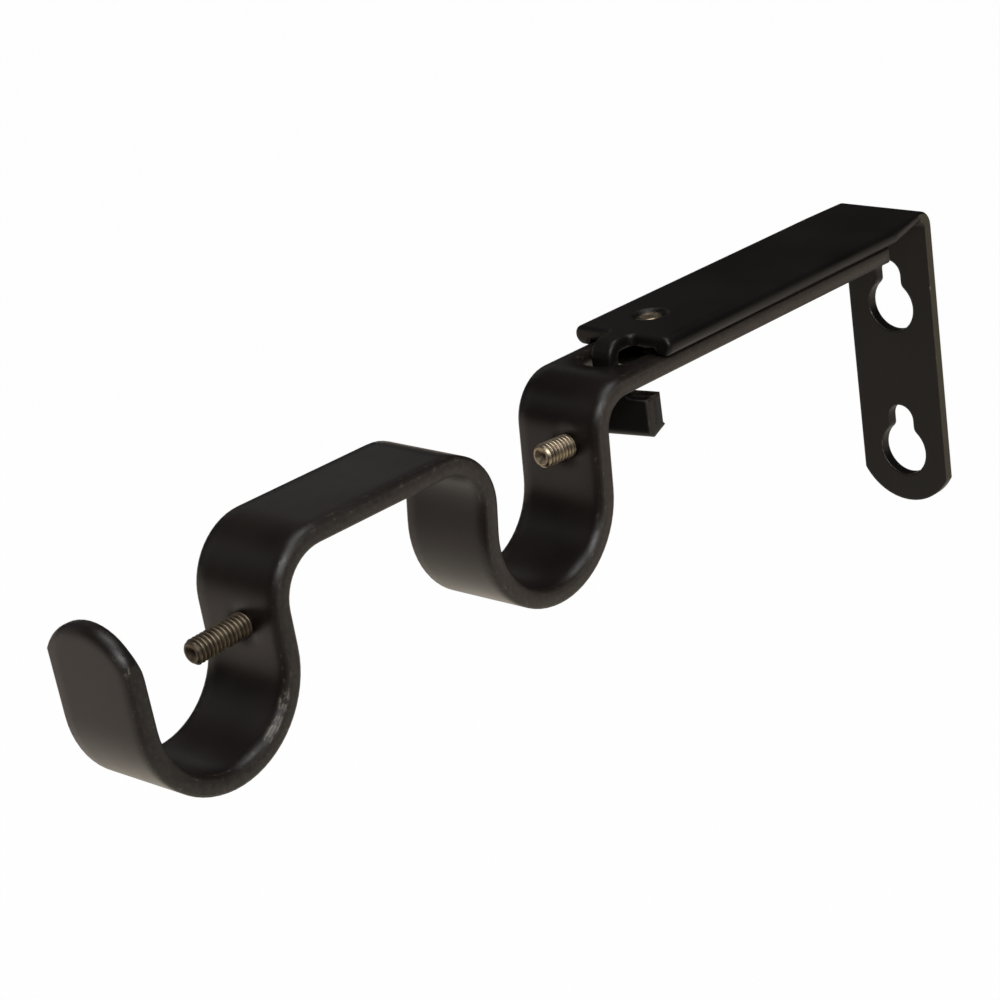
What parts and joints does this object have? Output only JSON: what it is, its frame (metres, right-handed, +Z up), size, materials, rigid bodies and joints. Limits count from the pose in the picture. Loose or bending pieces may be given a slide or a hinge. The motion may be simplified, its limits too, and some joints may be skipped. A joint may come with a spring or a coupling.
{
  "type": "curtain pole bracket",
  "caption": "Extendable double curtain pole bracket: a folded wall plate with keyholes and a bent flat arm with two open cradles and set screws.",
  "frame": {"origin": "on the wall face of the plate, on its centre line, midway between the heads of the two keyholes", "axes": "+X along the wall, +Y into the wall, +Z up; the arm reaches towards the room along -Y"},
  "size_m": [0.0212, 0.1987, 0.0588],
  "materials": {
    "brown_paint": "satin",
    "plated_steel": "satin",
    "dull_steel": "satin"
  },
  "bodies": {
    "bracket": {"wall_bracket": "brown_paint"},
    "arm": {"hook_arm": "brown_paint"},
    "front_screw": {"front_set_screw": "plated_steel"},
    "rear_screw": {"rear_set_screw": "plated_steel"},
    "clamp": {"clamp_screw": "dull_steel", "clamp_washer": "dull_steel"}
  },
  "joints": [
    {"name": "arm_slide", "type": "slide", "parent": "bracket", "child": "arm", "axis": [0, -1, 0], "range_m": [-0.001, 0.045]},
    {"name": "front_screw_travel", "type": "slide", "parent": "arm", "child": "front_screw", "axis": [0, -0.999, -0.0436], "range_m": [-0.01, 0.0021]},
    {"name": "rear_screw_travel", "type": "slide", "parent": "arm", "child": "rear_screw", "axis": [0, -0.9981, 0.061], "range_m": [-0.004, 0.0031]},
    {"name": "clamp_screw_travel", "type": "slide", "parent": "bracket", "child": "clamp", "axis": [0, 0, -1], "range_m": [0, 0.0015]}
  ]
}
